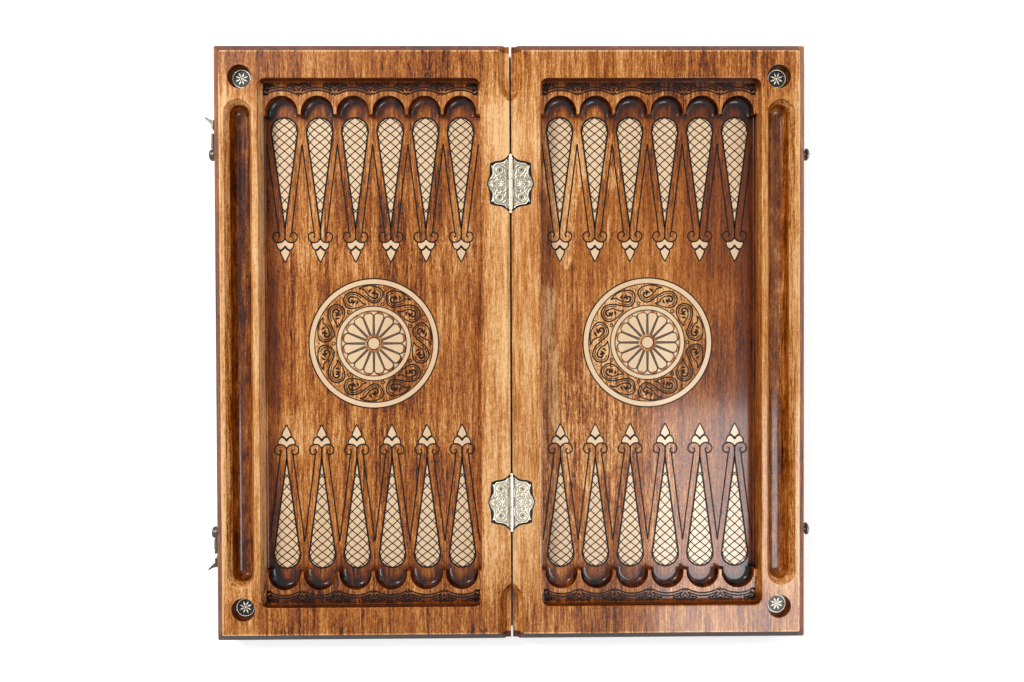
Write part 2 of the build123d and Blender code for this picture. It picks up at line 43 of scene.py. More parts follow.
# Places read from the frame
floor_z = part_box("left_rosette_hub")[1].z / MM
tray_x = (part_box("right_rosette_hub")[0].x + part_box("right_rosette_hub")[1].x) / 2 / MM
well_x = (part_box("upper_right_medallion")[0].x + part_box("upper_right_medallion")[1].x) / 2 / MM
well_y = (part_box("upper_right_medallion")[0].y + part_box("upper_right_medallion")[1].y) / 2 / MM
badge_rim_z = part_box("upper_right_medallion")[1].z / MM
hinge_y = (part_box("upper_hinge_pin")[0].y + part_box("upper_hinge_pin")[1].y) / 2 / MM
hook_y = (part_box("upper_hook_screw")[0].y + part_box("upper_hook_screw")[1].y) / 2 / MM
hook_z = (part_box("upper_hook_screw")[0].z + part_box("upper_hook_screw")[1].z) / 2 / MM

# The carved tray of each half
tray_half_width = 111.3
tray_half_length = 266.1
step_z = 23.0
niche_pitch = 36.28
niche_count = 6
niche_offsets = [(i - (niche_count - 1) / 2) * niche_pitch for i in range(niche_count)]
niche_apex_y = 252.2
niche_radius = 16.7
groove_x = 273.2
groove_half_width = 14.1
groove_half_length = 245.5
sides = (("left", -1), ("right", 1))
ends = (("upper", 1), ("lower", -1))

# Thin work on the wood: widths of strokes, how far it stands over the wood and how far it reaches in
line_width = 1.85
slant_width = 1.5
net_width = 1.05
line_rise = 0.10
net_rise = 0.07
line_foot = 0.25
plate_rise = 0.04

# The points: a net-covered teardrop, a stem, two curls, a crown and a drop
head_y = 218.9
head_radius = 13.4
tip_y = 118.5
net_top_y = 232.6
net_width_top = 13.2
net_width_loss = 0.24
net_first_step = 7.9
net_step_growth = 0.17
net_strings = 7
net_rows = 11
net_steps_per_row = 12
net_steps_each_way = 21
apex_y = 205.2
drop_tip_y = 84.8

# The rosettes
outer_ring = (66.9, 61.0)
inner_ring = (38.5, 33.9)
dial_line_radius = 33.0
petal_count = 16
petal_inner_radius = 9.4
petal_outer_radius = 31.6
petal_gap = 2.0
scroll_radius = 50.0
scroll_sectors = 7
scroll_flips = (1, 1, -1, 1, -1, 1, -1)

# The hinge plates: the level of their top, then places measured from the middle of their pin
leaf_top_z = 34.5
nail_x = 10.9
nail_y = 13.5
flower_x = 9.4
shell_x = 16.6

# The outer face of the hooks' arms
hook_face = 301.2

# The chess board on the underside
chess_square = 60.0
chess_seam_margin = 1.0
chess_frame_x = 241.0
chess_frame_y = 240.0


def arc(centre, radius, start, stop, steps):
    """Points of an arc, with its angles in degrees."""
    turns = [radians(start + (stop - start) * i / steps) for i in range(steps + 1)]
    return [(centre[0] + radius * cos(a), centre[1] + radius * sin(a)) for a in turns]


def circle(centre, radius, steps=48):
    """Points of a closed circle."""
    return arc(centre, radius, 0, 360 * (steps - 1) / steps, steps - 1)


def flowing(points, steps=6):
    """A smooth curve through a few chosen points."""
    path = []
    last = len(points) - 1
    for i in range(last):
        before, a, b, after = (Vector(points[max(0, min(last, k))]) for k in (i - 1, i, i + 1, i + 2))
        for j in range(steps):
            t = j / steps
            path.append(
                0.5
                * (
                    2 * a
                    + (b - before) * t
                    + (2 * before - 5 * a + 4 * b - after) * t**2
                    + (3 * a - before - 3 * b + after) * t**3
                )
            )
    path.append(Vector(points[-1]))
    return [tuple(p) for p in path]


def stroke(points, width=line_width, closed=False, taper=None):
    """A stroke of even width, or one that thins out: taper is 'end', 'both' or 'leaf'."""
    count = len(points)
    widths = []
    for i in range(count):
        t = i / max(1, count - 1)
        share = 1.0
        if taper == "end":
            share = 1 - 0.8 * t
        elif taper == "both":
            share = 0.25 + 0.75 * sin(pi * t)
        elif taper == "leaf":
            share = 0.08 + 0.92 * sin(pi * t**0.8)
        widths.append(width * share)
    return (points, widths, closed)


def moved(strokes, dx=0.0, dy=0.0, flip_x=1, flip_y=1):
    """The same strokes mirrored and then shifted."""
    return [([(x * flip_x + dx, y * flip_y + dy) for x, y in p], w, c) for p, w, c in strokes]


# Cross-sections of strokes, as (share of the half width, share of the rise)
flat_section = ((-1.0, 0.0), (-0.8, 1.0), (0.8, 1.0), (1.0, 0.0))
round_section = ((-1.0, 0.0), (-0.8, 0.62), (-0.35, 0.95), (0.35, 0.95), (0.8, 0.62), (1.0, 0.0))


def on_top(height):
    """Lays a drawing down on a level surface."""
    return lambda x, y, h: (x, y, height + h)


def on_left_wall(out, level, turn):
    """Lays a drawing against the left wall: its x goes along the wall, its y goes up."""
    return lambda x, y, h: (-out - h, turn * hook_y + turn * x, level + y)


def strokes_mesh(strokes, place, rise, section=flat_section):
    """A closed low solid for each stroke, in one mesh."""
    verts, faces = [], []
    for points, widths, closed in strokes:
        start = len(verts)
        count = len(points)
        ring = len(section) + 2
        for i, (x, y) in enumerate(points):
            before = points[i - 1] if (i > 0 or closed) else points[i]
            after = points[(i + 1) % count] if (i < count - 1 or closed) else points[i]
            dx, dy = after[0] - before[0], after[1] - before[1]
            size = hypot(dx, dy) or 1.0
            nx, ny = -dy / size, dx / size
            half = widths[i] / 2
            for across, high in section:
                verts.append(place(x + nx * across * half, y + ny * across * half, high * rise))
            for across in (1.0, -1.0):
                verts.append(place(x + nx * across * half, y + ny * across * half, -line_foot))
        for i in range(count if closed else count - 1):
            a = start + i * ring
            b = start + ((i + 1) % count) * ring
            for j in range(ring):
                k = (j + 1) % ring
                faces.append((a + j, a + k, b + k, b + j))
        if not closed:
            faces.append(tuple(start + j for j in range(ring)))
            faces.append(tuple(start + (count - 1) * ring + j for j in reversed(range(ring))))
    return verts, faces


def domes_mesh(spots, place):
    """Low round bosses: each spot is (x, y, radius, rise)."""
    around, up = 20, 5
    verts, faces = [], []
    for x, y, radius, rise in spots:
        start = len(verts)
        for level in range(up):
            lift = (pi / 2) * level / up
            for i in range(around):
                a = 2 * pi * i / around
                r = radius * cos(lift)
                verts.append(place(x + r * cos(a), y + r * sin(a), rise * sin(lift)))
        verts.append(place(x, y, rise))
        top = len(verts) - 1
        for i in range(around):
            a = 2 * pi * i / around
            verts.append(place(x + radius * cos(a), y + radius * sin(a), -line_foot))
        low = top + 1
        for i in range(around):
            k = (i + 1) % around
            for level in range(up - 1):
                a = start + level * around
                faces.append((a + i, a + k, a + around + k, a + around + i))
            faces.append((start + (up - 1) * around + i, start + (up - 1) * around + k, top))
            faces.append((low + i, low + k, start + k, start + i))
        faces.append(tuple(low + i for i in reversed(range(around))))
    return verts, faces


def plates_mesh(outlines, place, rise):
    """Thin flat plates with straight edges."""
    verts, faces = [], []
    for outline in outlines:
        start = len(verts)
        count = len(outline)
        verts += [place(x, y, rise) for x, y in outline]
        verts += [place(x, y, -line_foot) for x, y in outline]
        faces.append(tuple(start + i for i in range(count)))
        faces.append(tuple(start + count + i for i in reversed(range(count))))
        for i in range(count):
            k = (i + 1) % count
            faces.append((start + i, start + count + i, start + count + k, start + k))
    return verts, faces


def joined(*meshes):
    """Several meshes as one."""
    verts, faces = [], []
    for more_verts, more_faces in meshes:
        start = len(verts)
        verts += more_verts
        faces += [tuple(start + i for i in face) for face in more_faces]
    return verts, faces


def piece(name, mesh_parts, material, body, smooth=False):
    """Makes one visible piece from millimetre points and lets it ride on its body."""
    verts, faces = mesh_parts
    mesh = bpy.data.meshes.new(name)
    mesh.from_pydata([tuple(c * MM for c in v) for v in verts], [], faces)
    shape = bmesh.new()
    shape.from_mesh(mesh)
    bmesh.ops.recalc_face_normals(shape, faces=shape.faces)
    shape.to_mesh(mesh)
    shape.free()
    if smooth:
        mesh.shade_smooth()
        mesh.set_sharp_from_angle(angle=radians(50))
    mesh.materials.append(material)
    made = bpy.data.objects.new(name, mesh)
    bpy.context.scene.collection.objects.link(made)
    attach(made, body)


def feed(tree, socket, value):
    """Links a socket to another one, or gives it a plain value."""
    if isinstance(value, bpy.types.NodeSocket):
        tree.links.new(value, socket)
    else:
        socket.default_value = value


def math_node(tree, operation, *values):
    """The output of a new Math node that is fed by sockets or plain numbers."""
    node = tree.nodes.new("ShaderNodeMath")
    node.operation = operation
    for socket, value in zip(node.inputs, values):
        feed(tree, socket, value)
    return node.outputs[0]


class Paint:
    """A material whose pattern follows the object's own millimetres."""

    def __init__(self, name):
        self.material = bpy.data.materials.new(name)
        self.material.use_nodes = True
        self.tree = self.material.node_tree
        self.shader = self.tree.nodes["Principled BSDF"]
        place = self.tree.nodes.new("ShaderNodeTexCoord").outputs["Object"]
        scaled = self.tree.nodes.new("ShaderNodeVectorMath")
        scaled.operation = "SCALE"
        scaled.inputs["Scale"].default_value = 1 / MM
        self.tree.links.new(place, scaled.inputs[0])
        self.place = scaled.outputs["Vector"]
        parts = self.tree.nodes.new("ShaderNodeSeparateXYZ")
        self.tree.links.new(self.place, parts.inputs[0])
        self.x, self.y, self.z = parts.outputs

    def math(self, operation, *values):
        return math_node(self.tree, operation, *values)

    def add(self, *values):
        total = values[0]
        for value in values[1:]:
            total = self.math("ADD", total, value)
        return total

    def times(self, *values):
        total = values[0]
        for value in values[1:]:
            total = self.math("MULTIPLY", total, value)
        return total

    def less(self, value, amount):
        return self.math("SUBTRACT", value, amount)

    def larger(self, one, other):
        return self.math("MAXIMUM", one, other)

    def size(self, value):
        """The value without its sign."""
        return self.math("ABSOLUTE", value)

    def distance(self, across, along):
        """How far off the middle a point with these two offsets is."""
        squares = [self.math("POWER", offset, 2.0) for offset in (across, along)]
        return self.math("SQRT", self.add(*squares))

    def ease(self, value, low, high):
        """Goes smoothly from 0 at low to 1 at high."""
        node = self.tree.nodes.new("ShaderNodeMapRange")
        node.interpolation_type = "SMOOTHSTEP"
        feed(self.tree, node.inputs["Value"], value)
        node.inputs["From Min"].default_value = min(low, high)
        node.inputs["From Max"].default_value = max(low, high)
        if low > high:
            node.inputs["To Min"].default_value = 1.0
            node.inputs["To Max"].default_value = 0.0
        return node.outputs[0]

    def between(self, value, low, high, soft):
        """1 between low and high, with soft borders."""
        return self.times(
            self.ease(value, low - soft, low + soft), self.ease(value, high + soft, high - soft)
        )

    def noise(self, stretch, detail=2.0, rough=0.5, shift=(0.0, 0.0, 0.0), twist=0.0):
        """Noise about zero, from -1 to 1; stretch is its cycles per millimetre along x, y and z."""
        node = self.tree.nodes.new("ShaderNodeVectorMath")
        node.operation = "MULTIPLY_ADD"
        self.tree.links.new(self.place, node.inputs[0])
        node.inputs[1].default_value = stretch
        node.inputs[2].default_value = shift
        texture = self.tree.nodes.new("ShaderNodeTexNoise")
        texture.inputs["Scale"].default_value = 1.0
        texture.inputs["Detail"].default_value = detail
        texture.inputs["Roughness"].default_value = rough
        texture.inputs["Distortion"].default_value = twist
        self.tree.links.new(node.outputs[0], texture.inputs["Vector"])
        return self.times(self.less(texture.outputs["Fac"], 0.5), 2.0)

    def ramp(self, value, stops):
        """The colour that a value has among colour stops."""
        node = self.tree.nodes.new("ShaderNodeValToRGB")
        elements = node.color_ramp.elements
        while len(elements) < len(stops):
            elements.new(0.5)
        for element, (position, colour) in zip(elements, stops):
            element.position = position
            element.color = (*colour, 1.0)
        feed(self.tree, node.inputs["Fac"], value)
        return node.outputs["Color"]

    def bevel(self, radius):
        """The normal with its sharp edges rounded, and how much of an edge each place is."""
        node = self.tree.nodes.new("ShaderNodeBevel")
        node.samples = 4
        node.inputs["Radius"].default_value = radius * MM
        geometry = self.tree.nodes.new("ShaderNodeNewGeometry")
        dot = self.tree.nodes.new("ShaderNodeVectorMath")
        dot.operation = "DOT_PRODUCT"
        self.tree.links.new(node.outputs[0], dot.inputs[0])
        self.tree.links.new(geometry.outputs["Normal"], dot.inputs[1])
        return node.outputs[0], self.ease(dot.outputs["Value"], 0.995, 0.93)

    def bump(self, height, distance, normal=None):
        """Fine relief of the given depth in millimetres, over a rounded normal if there is one."""
        node = self.tree.nodes.new("ShaderNodeBump")
        node.inputs["Distance"].default_value = distance * MM
        feed(self.tree, node.inputs["Height"], height)
        if normal is not None:
            self.tree.links.new(normal, node.inputs["Normal"])
        feed(self.tree, self.shader.inputs["Normal"], node.outputs[0])

    def set(self, **values):
        """Sets the shader's sockets by their names."""
        for name, value in values.items():
            feed(self.tree, self.shader.inputs[name.replace("_", " ")], value)


# The colours of the stained wood, each at its share of red, from scorched to bare light wood
wood_stops = (
    (0.00, (0.004, 0.001, 0.001)),
    (0.05, (0.042, 0.006, 0.001)),
    (0.13, (0.115, 0.020, 0.001)),
    (0.25, (0.235, 0.050, 0.001)),
    (0.45, (0.445, 0.136, 0.012)),
    (0.65, (0.650, 0.290, 0.082)),
    (0.90, (0.900, 0.540, 0.250)),
)


def wood_grain(paint, seed):
    """Broad clouds, growth rings, streaks, pores and flecks, as one change of tone about zero."""
    shift = (seed, seed * 0.7, seed * 0.3)
    broad = paint.noise((0.014, 0.006, 0.02), 2.0, 0.5, shift)
    rings = paint.noise((0.11, 0.0040, 0.11), 2.0, 0.55, shift, 0.5)
    streaks = paint.noise((0.42, 0.022, 0.42), 3.0, 0.65, shift)
    pores = paint.noise((1.6, 0.12, 1.6), 2.0, 0.6, shift)
    flecks = paint.noise((0.62, 0.42, 0.62), 2.0, 0.7, shift)
    tone = paint.add(
        paint.times(broad, 0.42),
        paint.times(rings, 0.36),
        paint.times(streaks, 0.58),
        paint.times(pores, 0.56),
        paint.times(flecks, 0.34),
    )
    return tone, pores


# The tone of plain wood, and how far the grain moves it, which is less on the quiet flats
base_tone = 0.39
grain_depth = 2.4
quiet_loss = 1.2
left_grain_seed = 3.1
right_grain_seed = 11.7

# The chess board's dark frame lines, and the edges that are painted lighter, partly as rubbed wear and partly
# as a painted highlight
stringing_tone = -0.6
rounded_edge_radius = 0.9
worn_edge_and_highlight_tone = 0.22

# How much lighter or darker each mask makes the wood, on the left half and on the right half; many are
# painted light or painted shade, as the comments below say
carving_tones = (
    ("inner_stile", 0.36, 0.26),
    ("outer_stile", 0.28, 0.20),
    # Painted light: the tray's side walls are made lighter, the left half's outer wall most
    ("outer_tray_wall_painted_light", 0.42, 0.04),
    ("inner_tray_wall_painted_light", 0.22, 0.14),
    ("end_fields", 0.07, 0.02),
    ("far_edge", 0.04, 0.04),
    # A painted highlight along the inner edge of the bevel
    ("bevel_line_painted_highlight", 0.30, 0.30),
    # Painted light on the groove's upper walls
    ("groove_lip_painted_light", 0.16, 0.16),
    # The groove's channel is darker: darker stain together with painted shade
    ("channel", -0.13, -0.06),
    ("channel_blotches", 0.40, 0.40),
    # Painted shade on the bevels and outer faces, a painted reflection lightening the side bevels, the right
    # one more, and more painted shade on the front
    ("outside_painted_shade", -0.24, -0.24),
    ("outside_sides_painted_reflection", 0.08, 0.16),
    ("outside_front_painted_shade", -0.12, -0.12),
    # Darker stain together with painted shade on the tray floor by its walls and by the niches, and in the
    # niches
    ("outer_shade", -0.20, -0.20),
    ("inner_shade", -0.02, -0.02),
    ("end_shade", -0.10, -0.10),
    ("niche_stain_and_painted_shade", -0.23, -0.23),
    ("niche_blotches", 0.30, 0.30),
    ("step", 0.01, 0.01),
    # Darker stain together with painted shade along the back of the step, by the end wall
    ("step_back_stain_and_painted_shade", -0.23, -0.23),
    ("step_blotches", 0.30, 0.30),
    # Painted shade on the tray's end walls
    ("rim_wall_painted_shade", -0.26, -0.26),
    ("rim_line", -0.06, -0.06),
    # Painted shade in the medallion wells
    ("well_painted_shade", -0.26, -0.26),
    ("notch", 0.04, 0.04),
    ("rosette", 0.15, 0.15),
    ("rosette_blotches", 0.30, 0.30),
    # Painted shade in the gap round the hinge plates
    ("hinge_room_painted_shade", -0.45, -0.45),
)


def carving_masks(paint, across, in_tray, low):
    """What carving_tones names: each mask is 1 on its own part and 0 away from it.

    It fades between the two millimetre values given. The blotches vary about 0 inside their part.
    Masks without a lower limit in depth reach through to the underside.
    """
    ease, times, less, larger = paint.ease, paint.times, paint.less, paint.larger
    ax, ay, z = paint.size(paint.x), paint.size(paint.y), paint.z
    blotches = paint.noise((0.09, 0.05, 0.09), 4.0, 0.7, (5.0, 2.0, 9.0))
    cell = less(paint.math("FLOORED_MODULO", across, niche_pitch), niche_pitch / 2)
    niche_gap = paint.distance(cell, less(ay, niche_apex_y - niche_radius))
    bowl = times(in_tray, ease(ay, 226.0, 238.0), ease(z, 22.9, 21.5))
    # The niches are darker away from their middle: darker stain together with painted shade
    niche_stain_and_painted_shade = times(bowl, ease(niche_gap, 3.0, 13.0))
    step = times(in_tray, ease(z, 21.5, 22.9), ease(z, 24.5, 23.1))
    tray_wall = paint.between(z, 13.0, 34.0, 1.0)
    in_groove = times(
        ease(paint.size(less(ax, groove_x)), groove_half_width + 1.2, groove_half_width + 0.4),
        ease(ay, groove_half_length + 1.2, groove_half_length + 0.4),
    )
    # The groove's channel, darkened by darker stain together with painted shade
    channel = times(in_groove, ease(z, 27.4, 25.0))
    flat = ease(z, 34.3, 34.8)
    # Painted shade on the bevels and outer faces
    outside_painted_shade = times(larger(ease(ax, 291.3, 291.9), ease(ay, 293.3, 293.9)), ease(z, 34.95, 34.4))
    well_gap = paint.distance(less(ax, well_x), less(ay, well_y))
    rosette = times(low, ease(paint.distance(across, ay), 62.0, 61.0))
    hinge_gap = paint.size(less(ay, hinge_y))
    return {
        "inner_stile": times(flat, ease(ax, 34.0, 24.0), ease(ay, 285.0, 225.0)),
        "outer_stile": times(flat, ease(ax, 246.0, 254.0), ease(ay, 275.0, 235.0)),
        # Painted light on the tray's side walls
        "outer_tray_wall_painted_light": times(in_tray, ease(across, 108.6, 110.4), tray_wall),
        "inner_tray_wall_painted_light": times(in_tray, ease(across, -108.6, -110.4), tray_wall),
        "end_fields": times(low, ease(ay, 60.0, 80.0), ease(ay, 130.0, 100.0)),
        "far_edge": times(flat, ease(ax, 286.0, 288.5)),
        # A painted highlight along the inner edge of the bevel
        "bevel_line_painted_highlight": times(flat, larger(ease(ax, 290.0, 290.9), ease(ay, 292.0, 292.9))),
        # Painted light on the groove's upper walls
        "groove_lip_painted_light": times(in_groove, ease(z, 26.5, 28.0), ease(z, 35.0, 34.0)),
        "channel": channel,
        "channel_blotches": times(channel, blotches),
        # Painted shade on the bevels, a painted reflection on the side bevels, more painted shade on the
        # front
        "outside_painted_shade": outside_painted_shade,
        "outside_sides_painted_reflection": times(outside_painted_shade, ease(ax, 291.0, 292.0)),
        "outside_front_painted_shade": times(outside_painted_shade, ease(paint.y, -290.0, -292.0)),
        # Darker stain together with painted shade on the floor by the walls and the niches, and in the niches
        "outer_shade": times(low, ease(across, 84.0, 106.0), ease(z, 15.0, 12.0)),
        "inner_shade": times(low, ease(across, -104.0, -111.0)),
        "end_shade": times(low, ease(ay, 205.0, 236.0)),
        "niche_stain_and_painted_shade": niche_stain_and_painted_shade,
        "niche_blotches": times(niche_stain_and_painted_shade, blotches),
        "step": step,
        # Darker stain together with painted shade along the back of the step
        "step_back_stain_and_painted_shade": times(step, ease(ay, 255.0, 258.5)),
        "step_blotches": times(step, blotches),
        # Painted shade on the tray's end walls
        "rim_wall_painted_shade": times(in_tray, ease(ay, 250.0, 262.0), ease(z, 23.1, 24.5), ease(z, 34.6, 33.0)),
        "rim_line": times(in_tray, ease(z, 30.5, 33.0), ease(z, 35.0, 34.2)),
        # Painted shade in the medallion wells
        "well_painted_shade": times(ease(well_gap, 13.2, 12.0), ease(z, 34.9, 33.5)),
        "notch": times(ease(ax, 13.5, 12.0), ease(ay, 238.0, 244.0), ease(z, 34.8, 33.5)),
        "rosette": rosette,
        "rosette_blotches": times(rosette, blotches),
        # Painted shade in the gap round the hinge plates
        "hinge_room_painted_shade": times(ease(z, 34.85, 34.6), ease(ax, 26.0, 25.0), ease(hinge_gap, 34.5, 33.5)),
    }


def flame(paint, low):
    """The factor for the right tray's light flame grain, and its darker far and upper parts."""
    waves = paint.noise((0.030, 0.0075, 0.03), 2.0, 0.45, (7.3, 1.9, 0.0), 0.5)
    light_part = paint.times(low, paint.ease(waves, 0.02, 0.05), paint.ease(paint.x, 165.0, 95.0))
    far_part = paint.times(low, paint.ease(paint.x, 150.0, 210.0))
    upper_part = paint.times(low, paint.ease(paint.y, 40.0, 80.0))
    return paint.add(
        1.0, paint.times(light_part, 0.48), paint.times(far_part, -0.30), paint.times(upper_part, -0.22)
    )


def chess_stringing(paint):
    """Two dark lines that frame the chess board on the underside."""
    gap_x = paint.less(paint.size(paint.x), chess_frame_x)
    gap_y = paint.less(paint.size(paint.y), chess_frame_y)
    gap = paint.larger(gap_x, gap_y)
    lines = [paint.between(gap, near, far, 0.15) for near, far in ((4.0, 5.4), (8.0, 8.7))]
    return paint.times(paint.ease(paint.z, 1.2, 0.6), paint.larger(*lines))


def carved_wood(name, hand):
    """The wood of one half: the carving masks, many of them painted shade and painted light, and the grain
    give a tone, and wood_stops its colour.
    """
    paint = Paint(name)
    across = paint.less(paint.size(paint.x), tray_x)
    in_tray = paint.times(
        paint.ease(paint.size(across), tray_half_width + 1.6, tray_half_width + 0.6),
        paint.ease(paint.size(paint.y), tray_half_length + 1.6, tray_half_length + 0.6),
    )
    low = paint.times(in_tray, paint.ease(paint.z, 22.5, 13.0))
    masks = carving_masks(paint, across, in_tray, low)
    shades = [
        paint.times(masks[part], left if hand < 0 else right) for part, left, right in carving_tones
    ]
    grain, pores = wood_grain(paint, left_grain_seed if hand < 0 else right_grain_seed)
    quiet = paint.larger(masks["inner_stile"], masks["outer_stile"])
    depth = paint.add(grain_depth, paint.times(quiet, -quiet_loss))
    tone = paint.times(paint.add(base_tone, *shades), paint.add(1.0, paint.times(grain, depth)))
    if hand > 0:
        tone = paint.times(tone, flame(paint, low))
    tone = paint.add(tone, paint.times(chess_stringing(paint), stringing_tone))
    # The sharp edges are painted lighter, partly as rubbed wear and partly as a painted highlight
    rounded, edge = paint.bevel(rounded_edge_radius)
    tone = paint.add(tone, paint.times(edge, paint.ease(paint.z, 5.0, 20.0), worn_edge_and_highlight_tone))
    paint.set(Base_Color=paint.ramp(tone, wood_stops))
    paint.set(Roughness=paint.add(0.30, paint.times(pores, 0.08), paint.times(masks["channel"], 0.10)))
    paint.set(Coat_Weight=0.4, Coat_Roughness=0.12, Specular_IOR_Level=0.10)
    paint.bump(paint.add(paint.times(pores, 0.5), paint.times(grain, 0.6)), 0.10, rounded)
    return paint.material


def pale_wood(name):
    """Thin pale veneer with a quiet straight grain, and a tone that drifts from piece to piece."""
    paint = Paint(name)
    seed = 4.0
    grain, pores = wood_grain(paint, seed)
    patches = paint.noise((0.028, 0.006, 0.028), 1.0, 0.5, (seed, 2.0, 5.0))
    tone = paint.add(0.62, paint.times(grain, 0.55), paint.times(patches, 0.35))
    paint.set(Base_Color=paint.ramp(tone, ((0.0, (0.70, 0.44, 0.23)), (1.0, (0.86, 0.63, 0.39)))))
    paint.set(Roughness=paint.add(0.34, paint.times(pores, 0.06)), Coat_Weight=0.35, Coat_Roughness=0.12)
    paint.bump(pores, 0.04)
    return paint.material


def chess_wood(name, stops, seed):
    """A chess veneer whose tone steps a little from square to square."""
    paint = Paint(name)
    from_seam = paint.less(paint.size(paint.x), chess_seam_margin)
    column = paint.math("FLOOR", paint.times(from_seam, 1 / chess_square))
    row = paint.math("FLOOR", paint.times(paint.y, 1 / chess_square))
    # A fast sine scatters the tones of neighbouring squares
    scatter = paint.math("SINE", paint.add(column, paint.times(row, 12.9)))
    own_tone = paint.math("FRACT", paint.times(scatter, 43.7))
    grain, pores = wood_grain(paint, seed)
    tone = paint.add(0.42, grain, paint.times(own_tone, 0.16))
    paint.set(Base_Color=paint.ramp(tone, stops))
    paint.set(Roughness=paint.add(0.30, paint.times(pores, 0.08)), Specular_IOR_Level=0.2)
    paint.set(Coat_Weight=0.3, Coat_Roughness=0.12)
    paint.bump(pores, 0.05)
    return paint.material


def burnt(name, dark=(0.004, 0.002, 0.001), warm=(0.022, 0.009, 0.004)):
    """The dark of burnt lines, uneven like a hot tip leaves them."""
    paint = Paint(name)
    mottle = paint.noise((0.35, 0.35, 0.35), 3.0, 0.6)
    paint.set(Base_Color=paint.ramp(paint.add(0.5, mottle), ((0.0, dark), (1.0, warm))))
    paint.set(Roughness=paint.add(0.5, paint.times(mottle, 0.1)), Specular_IOR_Level=0.15)
    paint.bump(mottle, 0.05)
    return paint.material


def metal(name, low, high, rough=0.32, wear=0.5, barrel=0.0):
    """Old plated metal: dull in the pits, rubbed bright on its edges, with a painted highlight along a
    hinge's barrel.
    """
    paint = Paint(name)
    spots = paint.noise((0.5, 0.5, 0.5), 4.0, 0.65)
    fine = paint.noise((3.0, 3.0, 3.0), 2.0, 0.6, (1.0, 4.0, 2.0))
    rounded, edge = paint.bevel(0.25)
    tone = paint.add(0.42, paint.times(spots, 0.45), paint.times(fine, 0.15), paint.times(edge, wear))
    # A painted highlight makes a hinge's barrel lighter
    if barrel > 0:
        tone = paint.add(tone, paint.times(paint.ease(paint.size(paint.x), 3.3, 2.7), barrel))
    paint.set(Base_Color=paint.ramp(tone, ((0.0, low), (1.0, high))), Metallic=1.0)
    paint.set(Roughness=paint.add(rough, paint.times(spots, -0.12), paint.times(fine, 0.05)))
    paint.bump(paint.add(spots, paint.times(fine, 0.4)), 0.05, rounded)
    return paint.material


def nail_metal(name):
    """Round nail heads with a pale rim and a dark hollow middle."""
    paint = Paint(name)
    spots = paint.noise((0.9, 0.9, 0.9), 3.0, 0.6)
    off_x = paint.less(paint.size(paint.x), nail_x)
    off_y = paint.less(paint.size(paint.less(paint.size(paint.y), hinge_y)), nail_y)
    tone = paint.add(paint.ease(paint.distance(off_x, off_y), 0.9, 1.4), paint.times(spots, 0.25))
    hollow, rim = (0.02, 0.016, 0.012), (0.62, 0.52, 0.36)
    paint.set(Base_Color=paint.ramp(tone, ((0.0, hollow), (1.0, rim))), Metallic=1.0)
    paint.set(Roughness=paint.add(0.42, paint.times(spots, 0.1)))
    paint.bump(spots, 0.04)
    return paint.material


def enamel(name):
    """Black enamel with faint wear."""
    paint = Paint(name)
    spots = paint.noise((0.6, 0.6, 0.6), 3.0, 0.6)
    rounded, edge = paint.bevel(0.3)
    paint.set(
        Base_Color=paint.ramp(
            paint.add(0.3, paint.times(spots, 0.3), paint.times(edge, 0.5)),
            ((0.0, (0.006, 0.006, 0.006)), (1.0, (0.055, 0.050, 0.042))),
        )
    )
    paint.set(Roughness=paint.add(0.34, paint.times(spots, 0.08)), Specular_IOR_Level=0.25)
    paint.bump(spots, 0.03, rounded)
    return paint.material


wood = {"left": carved_wood("carved_wood_left", -1), "right": carved_wood("carved_wood_right", 1)}
inlay = pale_wood("pale_inlay")
light_stops = ((0.0, (0.52, 0.31, 0.13)), (0.5, (0.74, 0.52, 0.28)), (1.0, (0.86, 0.68, 0.43)))
dark_stops = ((0.0, (0.030, 0.012, 0.006)), (0.5, (0.140, 0.055, 0.022)), (1.0, (0.300, 0.130, 0.055)))
light_squares = chess_wood("light_veneer", light_stops, 21.0)
dark_squares = chess_wood("dark_veneer", dark_stops, 31.0)
burnt_line = burnt("burnt_line")
burnt_shade = burnt("burnt_shade", (0.10, 0.060, 0.036), (0.24, 0.155, 0.095))
antique = metal("antique_nickel", (0.12, 0.10, 0.075), (0.62, 0.56, 0.44))
dark_metal = metal("dark_nickel", (0.03, 0.027, 0.022), (0.22, 0.20, 0.17), 0.36)
# plate_nickel carries the painted highlight along the hinge barrels
plate_metal = metal("plate_nickel", (0.03, 0.026, 0.019), (0.60, 0.54, 0.42), 0.40, 0.15, barrel=0.48)
raised = metal("raised_nickel", (0.56, 0.51, 0.40), (0.95, 0.90, 0.78), 0.40)
bright = metal("bright_nickel", (0.62, 0.54, 0.38), (0.96, 0.91, 0.76), 0.26, 0.4)
iron = metal("dark_iron", (0.02, 0.018, 0.015), (0.16, 0.13, 0.10), 0.42)
black = enamel("black_enamel")

# The finish of each CAD node, by how its name ends; a panel gets the wood of its own half
finishes = (
    ("_panel", None),
    ("_inlays", inlay),
    ("_rings", inlay),
    ("_petals", inlay),
    ("_hub", inlay),
    ("_light_squares", light_squares),
    ("_dark_squares", dark_squares),
    ("_medallion", black),
    ("_plate", plate_metal),
    ("_nails", nail_metal("nail_nickel")),
    ("_pin", bright),
    ("_backplate", iron),
    ("_screw", dark_metal),
    ("_hook", dark_metal),
    ("_stud", dark_metal),
)
for name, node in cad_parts.items():
    finish = [m for ending, m in finishes if name.endswith(ending)][-1]
    if finish is None:
        finish = wood[name.split("_")[0]]
    node.data.materials.clear()
    node.data.materials.append(finish)


